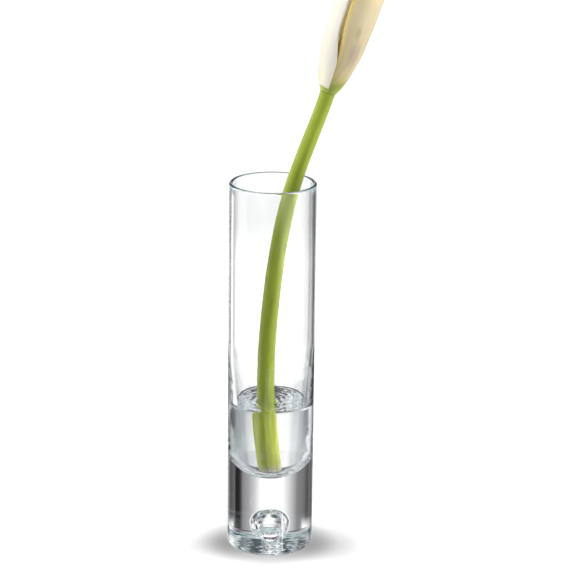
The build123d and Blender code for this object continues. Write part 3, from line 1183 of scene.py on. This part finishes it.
# The side lights' balance, left and right, as seen from the air, through glass and through water.
# Light counts as seen through glass or water once it has passed that many surfaces.
BALANCE_IN_AIR = (1.1, 0.9)
BALANCE_IN_GLASS = (0.95, 2.4)
BALANCE_IN_WATER = (1.25, 4.0)
GLASS_PASSES = 2.5
WATER_PASSES = 4.5

FLOOR_GREYS = (0.345, 0.355)
FLOOR_AROUND = 96
FLOOR_DROP = 0.05 * MM
# Painted shadow round the foot: where it is deepest and where it has faded out.
FOOT_SHADE_RADII = (23.0 * MM, 40.0 * MM)
# Painted shadow at the foot's sides: how far to the right, and how wide.
SIDE_SHADES = ((-24.0 * MM, 29.0 * MM), (26.0 * MM, 32.0 * MM))
SIDE_SHADE_Y = -5.0 * MM

# The card's near and far edge from the vase's axis, and its sides in degrees from straight behind it.
CARD_NEAR, CARD_FAR = 0.23, 0.75
CARD_TURNS = (-55, -35)
CARD_Z = 1.0 * MM
CARD_GLOW = 1.3

# A direction of sight: its parts to the right and up, its turn from straight behind the vase in
# radians, the same as a share of the whole round, and, in degrees, how far it is from the back and
# how high.
Way = namedtuple("Way", "x z turn azimuth from_back height")


def sight(nodes):
    """The way a ray looks into the studio."""
    x, y, z = nodes.split(nodes.add("ShaderNodeTexCoord").outputs["Generated"])
    turn = nodes.math("ARCTAN2", x, y)
    azimuth = nodes.fit(turn, -pi, pi)
    from_back = nodes.product(nodes.math("ABSOLUTE", turn), 180 / pi)
    height = nodes.product(nodes.math("ARCSINE", z), 180 / pi)
    return Way(x, z, turn, azimuth, from_back, height)


def wall_colour(nodes, way, stops, tint):
    """Brightness by azimuth, tinted where it is dark."""
    places = []
    for angle, value in stops:
        shade = tuple(value * (1 - (1 - part) * max(0.0, 1 - value)) for part in tint)
        places.append(((angle + 180) / 360, shade))
    return nodes.ramp(way.azimuth, places)


def studio_walls(nodes, way):
    """What clear glass sees: striped walls all round, panes at the sides, and a dim ceiling."""
    steep = wall_colour(nodes, way, WALL_STEEP, COOL)
    pane = nodes.fit(nodes.math("SINE", nodes.product(way.turn, PANES)), -0.25, 0.25, to=PANE_TONES)
    steep = nodes.blend(nodes.fit(way.from_back, 64.0, 68.0), steep, nodes.grey(pane))
    down = wall_colour(nodes, way, WALL_DOWN, COOL)
    walls = nodes.blend(nodes.fit(way.height, -45.0, -41.0, smooth=True), down, steep)
    for stops, tint, low, high in UPPER_WALLS:
        upper = wall_colour(nodes, way, stops, tint)
        walls = nodes.blend(nodes.fit(way.height, low, high, smooth=True), walls, upper)
    walls = nodes.blend(nodes.fit(way.height, 35.0, 50.0, smooth=True), walls, CEILING)
    strip = nodes.product(
        nodes.math("COMPARE", way.azimuth, (STRIP_AZIMUTH + 180) / 360, STRIP_HALF_WIDTH / 360),
        nodes.math("COMPARE", way.height, STRIP_HEIGHT, STRIP_HALF_HEIGHT))
    return nodes.blend(strip, walls, STRIP_GLOW)


def soft_lights(nodes, stage, way, path):
    """What lights bloom and floor: soft boxes at the sides, and light from behind and all round."""
    boxes = nodes.product(
        nodes.fit(way.from_back, 62.0, 84.0, smooth=True),
        nodes.fit(way.from_back, 118.0, 96.0, smooth=True),
        nodes.fit(way.z, -0.5, 0.0, smooth=True),
        nodes.fit(way.z, 0.95, 0.6, smooth=True))
    in_air, in_glass, in_water = (
        nodes.fit(way.x, -0.5, 0.5, to=(stage.side_light * left, stage.side_light * right))
        for left, right in (BALANCE_IN_AIR, BALANCE_IN_GLASS, BALANCE_IN_WATER)
    )
    passes = path["Transmission Depth"]
    balance = nodes.mix(nodes.math("GREATER_THAN", passes, GLASS_PASSES), in_air, in_glass)
    balance = nodes.mix(nodes.math("GREATER_THAN", passes, WATER_PASSES), balance, in_water)
    behind = nodes.product(nodes.fit(way.from_back, 60.0, 40.0, smooth=True), stage.back_light)
    fill = nodes.math("ADD", behind, stage.soft_light)
    return nodes.grey(nodes.math("ADD", nodes.product(boxes, balance), fill))


def make_world(scene):
    """The studio: white to the camera, striped to the glass, and soft light on matt surfaces."""
    world = bpy.data.worlds.new("studio")
    world.use_nodes = True
    world.node_tree.nodes.clear()
    nodes = Nodes(world.node_tree)
    way = sight(nodes)
    path = nodes.add("ShaderNodeLightPath").outputs
    lit = nodes.math("GREATER_THAN", path["Diffuse Depth"], 0.5)
    soft = soft_lights(nodes, scene.bud_vase_stage, way, path)
    colour = nodes.blend(lit, studio_walls(nodes, way), soft)
    colour = nodes.blend(path["Is Camera Ray"], colour, (1.0, 1.0, 1.0))
    background = nodes.add("ShaderNodeBackground", {"Color": colour, "Strength": 1.0})
    nodes.add("ShaderNodeOutputWorld", {"Surface": background.outputs[0]})
    world.cycles.sampling_method = "NONE"
    scene.world = world


def floor_shade(nodes, stage, place):
    """Painted shadow round the vase's foot and at its two sides."""
    from_foot = nodes.vector("LENGTH", place, output="Value")
    shade = nodes.fit(from_foot, *FOOT_SHADE_RADII, to=(1.0 - stage.foot_shade, 1.0), smooth=True)
    for x, width in SIDE_SHADES:
        away = nodes.vector("DISTANCE", place, (x, SIDE_SHADE_Y, 0.0), output="Value")
        spot = nodes.fit(away, 0.0, width, to=(1.0 - stage.side_shade, 1.0), smooth=True)
        shade = nodes.product(shade, spot)
    return nodes.grey(shade)


def pale_floor(stage):
    """Matt pale floor with a glow of its own, both darker where a shadow of the vase is painted on."""
    material, nodes = new_material("pale_floor")
    place = nodes.object_place()
    grain = nodes.noise(place, scale=400.0)
    dark, light = FLOOR_GREYS
    pale = nodes.ramp(grain, ((0.3, (dark, dark, dark)), (0.7, (light, light, light))))
    shade = floor_shade(nodes, stage, place)
    matt = nodes.add("ShaderNodeBsdfDiffuse", {"Color": nodes.blend(1.0, pale, shade, "MULTIPLY")})
    glow = nodes.add("ShaderNodeEmission", {"Color": shade, "Strength": stage.floor_glow})
    nodes.surface(nodes.add("ShaderNodeAddShader", {0: matt.outputs[0], 1: glow.outputs[0]}))
    return material


def make_floor(scene):
    """A pale floor that only catches light, with a painted shadow round the foot; the glass sees the
    studio's walls instead.
    """
    stage = scene.bud_vase_stage
    turns = [2 * pi * i / FLOOR_AROUND for i in range(FLOOR_AROUND)]
    edge = [(stage.floor_radius * cos(turn), stage.floor_radius * sin(turn), 0.0) for turn in turns]
    faces = [(0, 1 + i, 1 + (i + 1) % FLOOR_AROUND) for i in range(FLOOR_AROUND)]
    floor = new_piece("floor", [(0.0, 0.0, 0.0)] + edge, faces, pale_floor(stage), smooth=False)
    floor.location.z = -FLOOR_DROP
    floor.visible_glossy = False
    floor.visible_transmission = False


def white_card():
    """A card that gives an even, slightly cloudy white light."""
    material, nodes = new_material("white_card")
    cloud = nodes.noise(nodes.object_place(), scale=8.0)
    shade = nodes.ramp(cloud, ((0.3, (0.97, 0.97, 0.97)), (0.7, (1.0, 1.0, 1.0))))
    nodes.surface(nodes.add("ShaderNodeEmission", {"Color": shade, "Strength": CARD_GLOW}))
    return material


def make_bounce_card(scene):
    """A white card on the floor behind and to the left, which only the glass sees."""
    left, right = (radians(turn) for turn in CARD_TURNS)
    corners = [
        (reach * sin(turn), reach * cos(turn), CARD_Z)
        for reach, turn in ((CARD_NEAR, left), (CARD_FAR, left), (CARD_FAR, right), (CARD_NEAR, right))
    ]
    card = new_piece("bounce_card", corners, [(0, 1, 2, 3)], white_card(), smooth=False)
    card.visible_camera = False
    card.visible_diffuse = False
    card.visible_shadow = False


def make_camera(scene):
    """The camera, from a little above and straight in front."""
    stage = scene.bud_vase_stage
    pitch, yaw, roll = stage.camera_pitch, stage.camera_yaw, stage.camera_roll
    ahead = Vector((sin(yaw) * cos(pitch), cos(yaw) * cos(pitch), -sin(pitch)))
    right = Vector((cos(yaw), -sin(yaw), 0.0))
    up = right.cross(ahead)
    rolled_right = right * cos(roll) + up * sin(roll)
    rolled_up = up * cos(roll) - right * sin(roll)
    lens = bpy.data.cameras.new("camera")
    lens.lens = stage.lens
    lens.sensor_width = 36.0
    lens.clip_end = 20.0
    camera = bpy.data.objects.new("camera", lens)
    turn = Matrix((rolled_right, rolled_up, -ahead)).transposed().to_4x4()
    place = Vector((stage.camera_side, -stage.camera_distance, stage.camera_height))
    camera.matrix_world = Matrix.Translation(place) @ turn
    scene.collection.objects.link(camera)
    bpy.context.scene.camera = camera


def set_light_paths(scene):
    """Let light pass through many glass faces, and keep white white."""
    scene.view_settings.view_transform = "Standard"
    scene.cycles.max_bounces = 32
    scene.cycles.transmission_bounces = 32
    scene.cycles.glossy_bounces = 12
    scene.cycles.diffuse_bounces = 4
    scene.cycles.sample_clamp_indirect = 10.0
    scene.cycles.use_denoising = True


# Operators


class BUDVASE_OT_glass(bpy.types.Operator):
    """Make the glass vase with its bubble"""

    bl_idname = "bud_vase.glass"
    bl_label = "Make Glass"
    bl_options = {"REGISTER", "UNDO"}

    def execute(self, context):
        vase = context.scene.bud_vase_glass
        if vase.bore_radius + 2 * vase.rim_round > vase.outer_radius:
            raise ValueError("The rim's rounding is larger than the wall is thick")
        if vase.bubble_top_z >= vase.bowl_floor_z:
            raise ValueError("The bubble reaches the bowl")
        make_glass(context.scene)
        return {"FINISHED"}


class BUDVASE_OT_water(bpy.types.Operator):
    """Make the water in the bowl"""

    bl_idname = "bud_vase.water"
    bl_label = "Make Water"
    bl_options = {"REGISTER", "UNDO"}

    def execute(self, context):
        vase = context.scene.bud_vase_glass
        floor_top = vase.bowl_floor_z + vase.bowl_knuckle_radius
        if not floor_top < context.scene.bud_vase_water.level < vase.bore_taper_z:
            raise ValueError("The water's level is outside the bowl")
        make_water(context.scene)
        return {"FINISHED"}


class BUDVASE_OT_flower(bpy.types.Operator):
    """Make the calla: stem, petal and spadix"""

    bl_idname = "bud_vase.flower"
    bl_label = "Make Calla"
    bl_options = {"REGISTER", "UNDO"}

    def execute(self, context):
        flower = context.scene.bud_vase_flower
        if flower.foot_radius >= context.scene.bud_vase_glass.bowl_knuckle_reach:
            raise ValueError("The stem's foot is wider than the bowl's floor")
        if SPADIX_BASE * MM + flower.spadix_height >= flower.petal_height:
            raise ValueError("The spadix is taller than the petal")
        make_stem(context.scene)
        make_petal(context.scene)
        make_spadix(context.scene)
        return {"FINISHED"}


class BUDVASE_OT_stage(bpy.types.Operator):
    """Make the floor, the studio light and the camera"""

    bl_idname = "bud_vase.stage"
    bl_label = "Make Stage"
    bl_options = {"REGISTER", "UNDO"}

    def execute(self, context):
        stage = context.scene.bud_vase_stage
        if stage.camera_distance >= stage.floor_radius:
            raise ValueError("The floor ends in front of the camera")
        make_floor(context.scene)
        make_bounce_card(context.scene)
        make_world(context.scene)
        make_camera(context.scene)
        set_light_paths(context.scene)
        return {"FINISHED"}


class BUDVASE_PT_panel(bpy.types.Panel):
    """Lists the vase's operators and settings."""

    bl_idname = "BUDVASE_PT_panel"
    bl_label = "Bud Vase"
    bl_space_type = "VIEW_3D"
    bl_region_type = "UI"
    bl_category = "Bud Vase"

    def draw(self, context):
        for operator in OPERATORS:
            self.layout.operator(operator.bl_idname)
        for name, kind in SETTINGS.items():
            box = self.layout.box()
            group = getattr(context.scene, name)
            for field in kind.__annotations__:
                box.prop(group, field)


OPERATORS = (BUDVASE_OT_glass, BUDVASE_OT_water, BUDVASE_OT_flower, BUDVASE_OT_stage)
SETTINGS = {
    "bud_vase_glass": VaseSettings,
    "bud_vase_water": WaterSettings,
    "bud_vase_flower": FlowerSettings,
    "bud_vase_stage": StageSettings,
}


def register():
    """Register the settings, the operators and the panel."""
    for kind in (*SETTINGS.values(), *OPERATORS, BUDVASE_PT_panel):
        bpy.utils.register_class(kind)
    for name, kind in SETTINGS.items():
        setattr(bpy.types.Scene, name, PointerProperty(type=kind))


def unregister():
    """Take them all out again, the last one first."""
    for name in SETTINGS:
        delattr(bpy.types.Scene, name)
    for kind in (BUDVASE_PT_panel, *reversed(OPERATORS), *reversed(SETTINGS.values())):
        bpy.utils.unregister_class(kind)


def main():
    """Register the classes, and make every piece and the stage."""
    register()
    bpy.ops.bud_vase.glass()
    bpy.ops.bud_vase.water()
    bpy.ops.bud_vase.flower()
    bpy.ops.bud_vase.stage()


if __name__ == "__main__":
    main()
